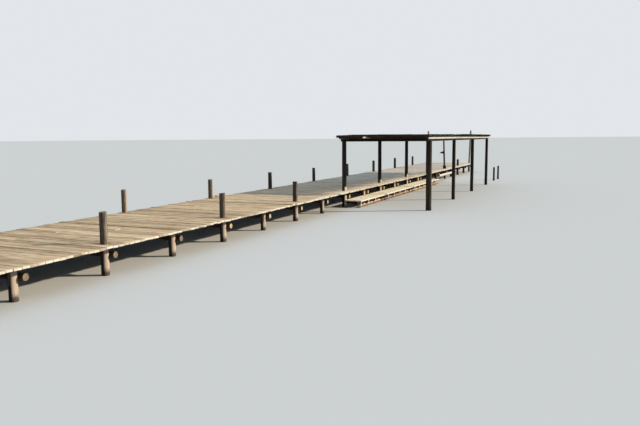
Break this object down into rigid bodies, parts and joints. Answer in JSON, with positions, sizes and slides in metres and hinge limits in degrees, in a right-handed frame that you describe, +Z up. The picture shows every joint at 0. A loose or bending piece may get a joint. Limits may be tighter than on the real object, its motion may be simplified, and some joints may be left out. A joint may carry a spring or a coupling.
{
  "type": "wooden jetty",
  "caption": "Long wooden jetty on round piles with mooring bollards, a roofed boat berth along one side and a low landing stage beneath it.",
  "frame": {"origin": "centre of the foot of the first pile on the near side, at the water's level", "axes": "+X along the jetty from the shore end out over the lake, +Y across it from the side with the shelter to the far side, +Z up"},
  "size_m": [39.4, 6.22, 2.8166],
  "materials": {
    "deck_boards": "weathered sawn boards, tan and grey, rough",
    "stringers": "damp sawn timber, dark",
    "cap_logs": "debarked round logs, weathered",
    "bollards": "debarked round logs, grey-brown, split along the grain",
    "shelter_posts": "dark tarred round posts",
    "roof_beams": "dark tarred beams",
    "roof_joists": "dark thin poles",
    "roof_covering": "dark brown reed matting",
    "edge_boards": "pale sunlit laths",
    "landing_boards": "pale bleached boards",
    "landing_frame": "dark damp timber",
    "skirt_boards": "orange-tan boards, stained at the water",
    "battens": "pale battens",
    "poles": "grey-brown thin poles",
    "fender": "bleached, nearly white plank"
  },
  "bodies": {
    "root": {"approach_cap_logs": "cap_logs", "deck_bay_01": "deck_boards", "deck_bay_02": "deck_boards", "deck_bay_03": "deck_boards", "deck_bay_04": "deck_boards", "deck_bay_05": "deck_boards", "deck_bay_06": "deck_boards", "deck_bay_07": "deck_boards", "deck_bay_08": "deck_boards", "deck_bay_09": "deck_boards", "deck_bay_10": "deck_boards", "edge_timbers": "deck_boards", "end_cap_logs": "cap_logs", "end_poles": "poles", "far_bollard_piles": "bollards", "far_short_piles": "bollards", "far_stringers": "stringers", "fender_plank": "fender", "inner_roof_beam": "roof_beams", "inner_shelter_posts": "shelter_posts", "inner_stringers": "stringers", "landing_battens": "battens", "landing_bearers": "landing_frame", "landing_deck": "landing_boards", "landing_piles": "landing_frame", "landing_rail": "landing_frame", "landing_skirt": "skirt_boards", "mooring_piles": "poles", "near_bollard_piles": "bollards", "near_short_piles": "bollards", "near_stringers": "stringers", "outer_roof_beam": "roof_beams", "outer_shelter_posts": "shelter_posts", "pole_bracket": "poles", "pole_foot_block": "landing_frame", "post_knees": "roof_beams", "roof_covering": "roof_covering", "roof_cross_beams": "roof_beams", "roof_edge_boards": "edge_boards", "roof_joists": "roof_joists", "shelter_cap_logs": "cap_logs", "tall_pole": "poles"}
  },
  "joints": []
}
